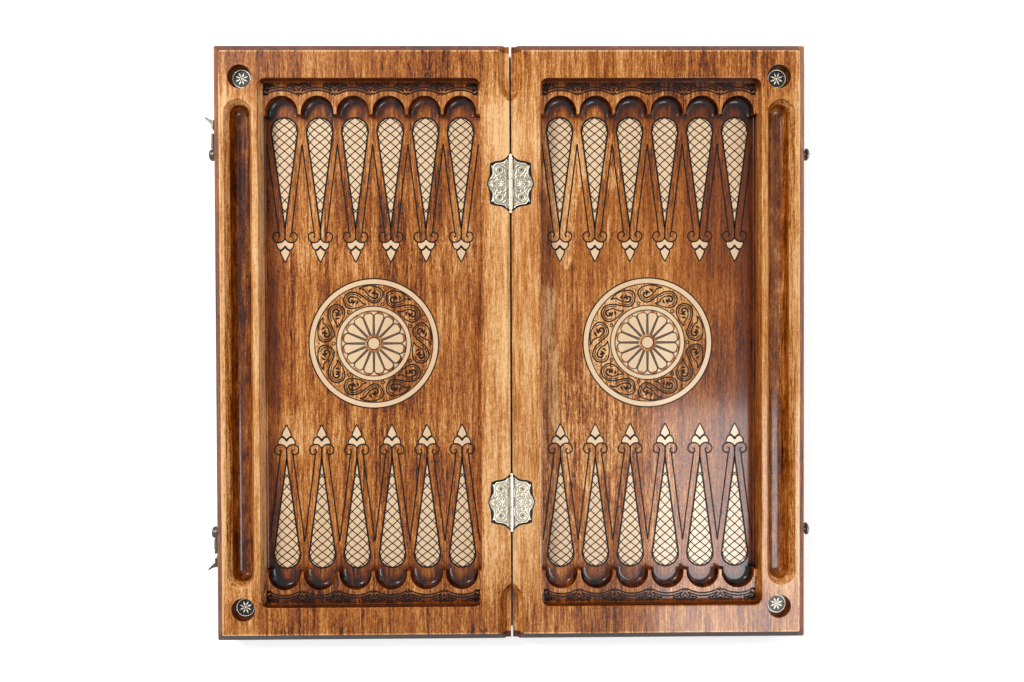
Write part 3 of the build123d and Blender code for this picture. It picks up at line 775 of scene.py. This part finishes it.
def teardrop_half_width(y):
    """Half the width of a point at a height on its axis."""
    lean = asin(head_radius / (head_y - tip_y))
    touch_y = head_y - head_radius * sin(lean)
    if y > touch_y:
        return sqrt(max(0.0, head_radius**2 - (y - head_y) ** 2))
    return max(0.0, (y - tip_y) * head_radius * cos(lean) / (touch_y - tip_y))


def teardrop_line():
    """The outline of a point's body."""
    lean = asin(head_radius / (head_y - tip_y)) / pi * 180
    head = arc((0, head_y), head_radius + 0.2, -lean, 180 + lean, 40)
    return [stroke([(0, tip_y)] + head + [(0, tip_y)])]


def net_lines():
    """A net of strings wound both ways round the point, as it looks from above."""
    turn = 2 * pi / net_strings
    lines = []
    for string in range(-1, net_rows + 2):
        for hand in (-1, 1):
            path = []
            for i in range(-net_steps_each_way, net_steps_each_way + 1):
                row = string + i / net_steps_per_row
                y = net_top_y - net_first_step * row - net_step_growth * row * abs(row)
                x = (net_width_top - net_width_loss * row) * sin((row - string) * turn)
                if abs(x) < teardrop_half_width(y) + 0.1 and y > tip_y + 4:
                    path.append((hand * x, y))
            if len(path) > 3:
                lines.append(stroke(path, net_width))
    return lines


def curl_lines():
    """The stem, the two curls and the slanting lines up to the next point."""
    outer = flowing([(0, 108.6), (2.6, 105.4), (6.2, 104.3), (10.4, 105.6), (12.4, 109.4),
                     (11.4, 113.2), (8.4, 114.8), (6.2, 113.8), (5.5, 111.8), (6.2, 110.1), (7.5, 109.9)])
    slant = [(niche_pitch / 2, apex_y), (8.1, 127.0), (6.6, 114.4)]
    lines = [stroke([(0, 122.0), (0, 115.0), (0, 107.6)], 1.7)]
    for hand in (-1, 1):
        lines += moved([stroke(outer, 1.5), stroke(slant, slant_width)], flip_x=hand)
    return lines


def crown_lines():
    """The outlines of the two pale lobes and the drop below them."""
    lobe = flowing([(8.7, 104.3), (8.9, 101.6), (7.2, 98.2), (4.9, 96.7), (2.2, 98.0), (0, 101.0)], 5)
    side = flowing([(0, 99.3), (2.5, 96.9), (4.9, 94.8), (3.4, 90.4), (0, drop_tip_y - 1.0)], 5)
    lines = []
    for hand in (-1, 1):
        lines += moved([stroke(lobe, 1.4), stroke(side, 1.4)], flip_x=hand)
    return lines


def drop_tip():
    """The pale end of a drop, down to its point."""
    return [(0, drop_tip_y), (2.9, 90.4), (4.2, 94.6), (0, 96.0), (-4.2, 94.6), (-2.9, 90.4)]


def dial_lines():
    """The thin lines of the rosette's sixteen-petal dial."""
    half_step = radians(180 / petal_count)
    inner_half = petal_inner_radius * sin(half_step) - petal_gap / 2
    outer_half = petal_outer_radius * sin(half_step) - petal_gap / 2
    end_x = petal_outer_radius * cos(half_step)
    round_x = end_x - 3.4
    one = [(petal_inner_radius, -inner_half), (round_x, -outer_half + 0.35)]
    one += flowing([(round_x, -outer_half + 0.35), (end_x - 0.9, -outer_half + 1.0),
                    (end_x + 0.1, -outer_half + 3.0), (end_x + 0.1, outer_half - 3.0),
                    (end_x - 0.9, outer_half - 1.0), (round_x, outer_half - 0.35)], 4)
    one += [(petal_inner_radius, inner_half)]
    rings = ((dial_line_radius, 96, 0.6), (6.1, 40, 0.9))
    lines = [stroke(circle((0, 0), radius, steps), width, True) for radius, steps, width in rings]
    for i in range(petal_count):
        turn = radians((i + 0.5) * 360 / petal_count)
        path = [(x * cos(turn) - y * sin(turn), x * sin(turn) + y * cos(turn)) for x, y in one]
        lines.append(stroke(path, 0.7, True))
    return lines


def dial_shades():
    """The scorched gaps between the petals, and the ring of dots round the hub."""
    shades = []
    for i in range(petal_count):
        turn = radians(i * 360 / petal_count)
        shades.append(stroke([(r * cos(turn), r * sin(turn)) for r in (8.6, 19.0, 29.8)], 1.7))
        turn = radians((i + 0.5) * 360 / petal_count)
        shades.append(stroke([(r * cos(turn), r * sin(turn)) for r in (7.1, 8.3)], 1.2))
    return shades


def dial_spandrels():
    """The pale triangles between the petals' round ends and the ring."""
    plates = []
    for i in range(petal_count):
        turn = i * 360 / petal_count
        rim = arc((0, 0), 34.0, turn - 7.6, turn + 7.6, 6)
        foot = arc((0, 0), 29.9, turn + 0.9, turn - 0.9, 1)
        side_a = arc((0, 0), 31.9, turn + 3.4, turn + 3.4, 1)[:1]
        side_b = arc((0, 0), 31.9, turn - 3.4, turn - 3.4, 1)[:1]
        plates.append(rim + side_a + foot + side_b)
    return plates


def scroll_strokes():
    """The vine of one rosette: in each sector an S-shaped stem with a curl at both ends."""
    contour = flowing([(15.4, 8.0), (19.4, 5.2), (20.6, 0.4), (17.8, -5.8), (11.6, -8.2),
                       (5.4, -5.4), (0, 0)], 6)
    inside = flowing([(14.8, 6.0), (17.6, 3.6), (18.5, 0.2), (16.4, -4.3), (11.4, -6.1),
                      (6.6, -3.8), (1.9, 1.2)], 6)
    leaf_outside = flowing([(15.4, 8.0), (9.6, 9.6), (3.6, 9.6), (-1.8, 8.6)], 5)
    leaf_inside = flowing([(-1.8, 8.6), (2.4, 6.6), (4.0, 3.6), (6.4, -0.4), (9.6, -2.6)], 5)
    curl = flowing([(9.6, -2.6), (12.4, -3.7), (14.9, -2.2), (15.3, 0.4), (13.6, 1.7),
                    (11.9, 0.7), (12.4, -0.9)], 5)
    vein = flowing([(13.4, 4.6), (10.8, 2.4), (8.8, 1.9)], 4)
    small_vein = flowing([(9.8, 6.0), (7.4, 4.2), (6.6, 2.4)], 4)
    half = [stroke(contour, 1.6), stroke(inside, 1.05), stroke(leaf_outside, 1.3), stroke(leaf_inside, 1.4),
            stroke(curl, 2.0), stroke(vein, 2.5, taper="both"), stroke(small_vein, 2.2, taper="both")]
    strokes = []
    for sector, flip in enumerate(scroll_flips):
        middle = 2 * pi * sector / scroll_sectors
        for hand in (-1, 1):
            for points, widths, closed in half:
                path = []
                for s, out in points:
                    angle = middle + flip * hand * s / scroll_radius
                    radius = scroll_radius + hand * out
                    path.append((radius * cos(angle), radius * sin(angle)))
                strokes.append((path, widths, closed))
        edge = middle + pi / scroll_sectors
        ring_centre = (41.4 * cos(edge), 41.4 * sin(edge))
        strokes.append(stroke(circle(ring_centre, 1.6, 14), 1.1, True))
        for out, aside, width in ((58.6, -2.8, 2.6), (58.6, 2.8, 2.6), (56.8, 0.0, 3.0)):
            turn = edge + aside / 58.0
            bead = [(r * cos(turn), r * sin(turn)) for r in (out - 1.0, out + 1.0)]
            strokes.append(stroke(bead, width, taper="both"))
    return strokes


def ring_lines():
    """The burnt edges of the rosette's two pale rings."""
    radii_and_widths = zip(outer_ring + inner_ring, (1.4, 1.1, 1.1, 0.7))
    return [stroke(circle((0, 0), radius, 128), width, True) for radius, width in radii_and_widths]


def step_lines():
    """The carving of one ornament step: double arcs over the niches, winged leaves between them."""
    lines = []
    for offset in niche_offsets:
        for lift, half, low in ((5.0, 16.2, 0.6), (8.0, 15.0, 4.0)):
            sag = lift - low
            radius = (half**2 + sag**2) / (2 * sag)
            lean = acos((radius - sag) / radius) / pi * 180
            path = arc((offset, niche_apex_y + lift - radius), radius, 90 - lean, 90 + lean, 18)
            lines.append(stroke(path, 1.5))
    for i in range(niche_count + 1):
        between = (i - niche_count / 2) * niche_pitch
        for hand in (-1, 1):
            if abs(between + hand * 8) > tray_half_width - 4:
                continue
            half = [
                stroke(flowing([(0, 252.0), (1.5, 254.6), (3.2, 252.9)], 4), 1.4),
                stroke(
                    flowing([(0.0, 257.0), (2.2, 260.0), (5.8, 263.0), (9.2, 263.5), (12.4, 261.4)], 4), 1.4
                ),
                stroke(flowing([(2.6, 256.2), (4.6, 258.8), (8.2, 261.0), (12.4, 261.4)], 4), 1.3),
                stroke(flowing([(4.4, 259.2), (5.6, 261.4)], 3), 2.2, taper="both"),
                stroke(flowing([(7.4, 260.4), (8.3, 262.8)], 3), 2.0, taper="both"),
                stroke(flowing([(0.0, 261.0), (1.6, 263.0), (5.0, 264.6)], 4), 2.4, taper="both"),
            ]
            lines += moved(half, dx=between, flip_x=hand)
        if abs(between) < tray_half_width - 6:
            lines.append(stroke([(between, 254.8), (between, 258.2)], 3.2, taper="both"))
            lines.append(stroke([(between, 261.8), (between, 264.6)], 2.6, taper="both"))
    for hand in (-1, 1):
        corner = flowing([(103.4, 253.6), (106.6, 252.6), (108.4, 255.4), (106.6, 258.2), (103.8, 257.0),
                          (104.6, 255.2)], 5)
        leaf = flowing([(107.6, 258.4), (106.8, 261.4), (103.6, 262.6), (99.0, 261.0)], 5)
        lines += moved([stroke(corner, 1.4), stroke(leaf, 2.2, taper="both")], flip_x=hand)
    return lines


def burnt_piece(side, ending, strokes, height=floor_z, rise=line_rise, material=burnt_line):
    """Burnt strokes on one level of one half, as one piece."""
    mesh = strokes_mesh(strokes, on_top(height), rise)
    piece(f"{side}_{ending}", mesh, material, f"{side}_half")


def pale_piece(side, ending, outlines):
    """Thin pale plates on the tray floor of one half, as one piece."""
    mesh = plates_mesh(outlines, on_top(floor_z), plate_rise)
    piece(f"{side}_{ending}", mesh, inlay, f"{side}_half")


point = teardrop_line() + curl_lines() + crown_lines()
net = net_lines()
for side, hand in sides:
    middle_x = hand * tray_x
    spots = [(middle_x + offset, end) for offset in niche_offsets for _, end in ends]
    outlines = [s for x, end in spots for s in moved(point, dx=x, flip_y=end)]
    nets = [s for x, end in spots for s in moved(net, dx=x, flip_y=end)]
    vine = moved(scroll_strokes() + ring_lines(), dx=middle_x, flip_x=-hand)
    steps = [s for _, end in ends for s in moved(step_lines(), dx=middle_x, flip_y=end)]
    burnt_piece(side, "point_outlines", outlines)
    burnt_piece(side, "point_nets", nets, rise=net_rise)
    pale_piece(side, "drop_tips", [[(x + dx, end * y) for dx, y in drop_tip()] for x, end in spots])
    burnt_piece(side, "rosette_vine", vine)
    burnt_piece(side, "rosette_dial_lines", moved(dial_lines(), dx=middle_x))
    burnt_piece(side, "rosette_shading", moved(dial_shades(), dx=middle_x), rise=0.05, material=burnt_shade)
    pale_piece(side, "rosette_spandrels", [[(x + middle_x, y) for x, y in p] for p in dial_spandrels()])
    burnt_piece(side, "step_carving", steps, height=step_z, rise=0.12)


def leaf_relief():
    """The raised ornament of a hinge plate on +X: a rim, horns, a shell, scrolls and a flower."""
    half = [
        stroke(
            flowing([(3.7, 24.2), (5.6, 22.0), (9.4, 20.7), (14.6, 19.9), (16.9, 17.6), (17.6, 14.8)], 5), 1.0
        ),
        stroke([(16.4, 16.4), (18.9, 18.0)], 1.1, taper="end"),
        stroke(flowing([(18.9, 17.6), (17.3, 13.6), (17.4, 9.4), (18.4, 6.8), (20.3, 5.0)], 5), 0.9),
        stroke(flowing([(4.0, 21.4), (7.6, 18.9), (12.6, 18.2), (15.2, 16.0)], 5), 0.6),
        stroke(circle((nail_x, nail_y), 3.3, 28), 0.9, True),
        stroke(flowing([(17.4, 4.6), (15.2, 7.6), (15.6, 10.6), (17.0, 11.0)], 5), 1.1, taper="both"),
        stroke(
            flowing([(15.8, 2.2), (13.6, 5.4), (14.0, 8.0), (11.6, 9.0), (9.6, 7.6), (10.8, 6.2)], 5), 1.0
        ),
        stroke(flowing([(4.6, 3.4), (5.4, 6.6), (8.0, 8.4)], 5), 1.2, taper="leaf"),
        stroke(flowing([(4.4, 8.0), (5.6, 11.2), (6.0, 14.6)], 5), 1.3, taper="leaf"),
        stroke(flowing([(4.6, 15.6), (6.4, 18.0), (9.2, 18.6)], 5), 1.0, taper="leaf"),
        stroke(flowing([(14.8, 12.2), (15.6, 14.6), (14.4, 16.6)], 5), 1.1, taper="leaf"),
    ]
    strokes = []
    for end in (-1, 1):
        strokes += moved(half, flip_y=end)
    for spoke in (-62, -36, -12, 12, 36, 62):
        a = radians(spoke)
        reach = 5.6 - abs(spoke) * 0.026
        rib = [(shell_x + r * cos(a), r * sin(a)) for r in (1.4, reach * 0.6, reach)]
        strokes.append(stroke(rib, 1.5, taper="leaf"))
    for petal in range(8):
        a = radians(petal * 45)
        leaf = [(flower_x + r * cos(a), r * sin(a)) for r in (1.2, 2.4, 3.8)]
        strokes.append(stroke(leaf, 1.7, taper="leaf"))
    strokes.append(stroke(circle((flower_x, 0), 4.7, 32), 0.6, True))
    return strokes


def medallion_relief():
    """A plain eight-petal flower inside a ring."""
    strokes = [stroke(circle((0, 0), 8.9, 48), 0.75, True), stroke(circle((0, 0), 2.0, 24), 0.6, True)]
    for petal in range(8):
        a = radians(petal * 45 + 22.5)
        strokes.append(stroke([(r * cos(a), r * sin(a)) for r in (2.4, 3.6, 4.8, 6.6)], 2.0, taper="leaf"))
    return strokes


for level, end in ends:
    for side, hand in sides:
        body = f"{side}_half"
        relief = moved(leaf_relief(), dy=end * hinge_y, flip_x=hand)
        flower_boss = (hand * flower_x, end * hinge_y, 1.3, 0.5)
        mesh = joined(
            strokes_mesh(relief, on_top(leaf_top_z), 0.5, section=round_section),
            domes_mesh([flower_boss], on_top(leaf_top_z)),
        )
        piece(f"{level}_hinge_{side}_relief", mesh, raised, body, smooth=True)
        flower = moved(medallion_relief(), dx=hand * well_x, dy=end * well_y)
        mesh = joined(
            strokes_mesh(flower[:1], on_top(badge_rim_z), 0.25, section=round_section),
            strokes_mesh(flower[1:], on_top(badge_rim_z - 0.4), 0.5, section=round_section),
            domes_mesh([(hand * well_x, end * well_y, 1.1, 0.6)], on_top(badge_rim_z - 0.4)),
        )
        piece(f"{level}_{side}_medallion_flower", mesh, raised, body, smooth=True)


def hook_relief():
    """Leaves and thin lines on the outer face of a hook's arm; x runs from its eye to its tip."""
    strokes = []
    for hand in (-1, 1):
        strokes += moved(
            [
                stroke(flowing([(7.0, 0.6), (9.2, 2.6), (12.4, 3.4)], 5), 1.4, taper="leaf"),
                stroke(flowing([(11.0, 0.8), (13.2, 2.6), (15.6, 3.3)], 5), 1.4, taper="leaf"),
                stroke(flowing([(6.2, 3.2), (9.4, 3.9), (13.2, 4.3), (16.4, 4.5)], 5), 0.6),
            ],
            flip_y=hand,
        )
    return strokes


for level, end in ends:
    mesh = strokes_mesh(hook_relief(), on_left_wall(hook_face, hook_z, end), 1.0, section=round_section)
    piece(f"{level}_hook_relief", mesh, antique, f"{level}_hook", smooth=True)

# The floor is pale, and glows a little where it is seen, so that it turns white with a soft shadow on it.
# A strip under the seam doesn't glow, so that the gap between the halves stays dark.
floor_reach = 4
floor_glow = 0.52
seam_strip = (0.004, 0.298)

# How bright the white room is where it only lights things; it is 1 where it is seen
room_light = 0.60


def where_seen(tree):
    """1 where the camera sees a surface, itself or mirrored in or through another one, and 0 elsewhere."""
    rays = tree.nodes.new("ShaderNodeLightPath").outputs
    by_way = math_node(tree, "MAXIMUM", rays["Is Glossy Ray"], rays["Is Transmission Ray"])
    return math_node(tree, "MAXIMUM", rays["Is Camera Ray"], by_way)


floor_mesh = bpy.data.meshes.new("floor")
floor_corners = [(floor_reach * x, floor_reach * y, 0) for x, y in ((-1, -1), (1, -1), (1, 1), (-1, 1))]
floor_mesh.from_pydata(floor_corners, [], [(0, 1, 2, 3)])
floor = bpy.data.objects.new("floor", floor_mesh)
bpy.context.scene.collection.objects.link(floor)
floor_material = bpy.data.materials.new("floor_white")
floor_material.use_nodes = True
tree = floor_material.node_tree
shader = tree.nodes["Principled BSDF"]
shader.inputs["Base Color"].default_value = (0.80, 0.80, 0.80, 1)
shader.inputs["Roughness"].default_value = 0.9
shader.inputs["Specular IOR Level"].default_value = 0.1
shader.inputs["Emission Color"].default_value = (1, 1, 1, 1)
place = tree.nodes.new("ShaderNodeTexCoord")
parts = tree.nodes.new("ShaderNodeSeparateXYZ")
tree.links.new(place.outputs["Object"], parts.inputs[0])
beside = [
    math_node(tree, "GREATER_THAN", math_node(tree, "ABSOLUTE", place_along), reach)
    for place_along, reach in zip(parts.outputs, seam_strip)
]
glow = math_node(tree, "MULTIPLY", where_seen(tree), math_node(tree, "MAXIMUM", *beside))
glow = math_node(tree, "MULTIPLY", glow, floor_glow)
tree.links.new(glow, shader.inputs["Emission Strength"])
floor_mesh.materials.append(floor_material)

# A white room all round
world = bpy.data.worlds.new("studio")
bpy.context.scene.world = world
world.use_nodes = True
tree = world.node_tree
background = tree.nodes["Background"]
background.inputs["Color"].default_value = (1, 1, 1, 1)
level = tree.nodes.new("ShaderNodeMapRange")
level.inputs["To Min"].default_value = room_light
level.inputs["To Max"].default_value = 1.0
tree.links.new(where_seen(tree), level.inputs["Value"])
tree.links.new(level.outputs["Result"], background.inputs["Strength"])


def softbox(name, place, aim, size, power, sheen_only=False):
    """A soft rectangular lamp that faces its aim point; one may show in the varnish alone."""
    light = bpy.data.lights.new(name, "AREA")
    light.shape = "RECTANGLE"
    light.size, light.size_y = size
    light.energy = power
    lamp = bpy.data.objects.new(name, light)
    lamp.location = place
    lamp.rotation_euler = (Vector(aim) - Vector(place)).to_track_quat("-Z", "Y").to_euler()
    lamp.visible_diffuse = not sheen_only
    bpy.context.scene.collection.objects.link(lamp)


softbox("key_lamp", place=(-1.35, 1.10, 1.9), aim=(0, 0, 0), size=(0.5, 0.5), power=33)
softbox("side_lamp", place=(1.5, 0.5, 0.9), aim=(0.1, 0, 0), size=(0.4, 1.6), power=5)
softbox(
    "sheen_lamp",
    place=(0.78, -0.66, 1.55),
    aim=(0.78, -0.66, 0),
    size=(0.70, 0.90),
    power=24,
    sheen_only=True,
)

# The camera looks almost straight down from 0.86 m up
focal_pixels = 823.8
image_width = 1024.0
camera_data = bpy.data.cameras.new("camera")
camera_data.sensor_width = 36.0
camera_data.lens = focal_pixels / image_width * camera_data.sensor_width
camera = bpy.data.objects.new("camera", camera_data)
camera.location = (-0.00855, 0.01263, 0.86417)
camera.rotation_euler = (radians(-0.711), radians(-0.653), radians(-0.206))
bpy.context.scene.collection.objects.link(camera)
bpy.context.scene.camera = camera
bpy.context.scene.view_settings.view_transform = "Standard"

bpy.context.view_layer.update()
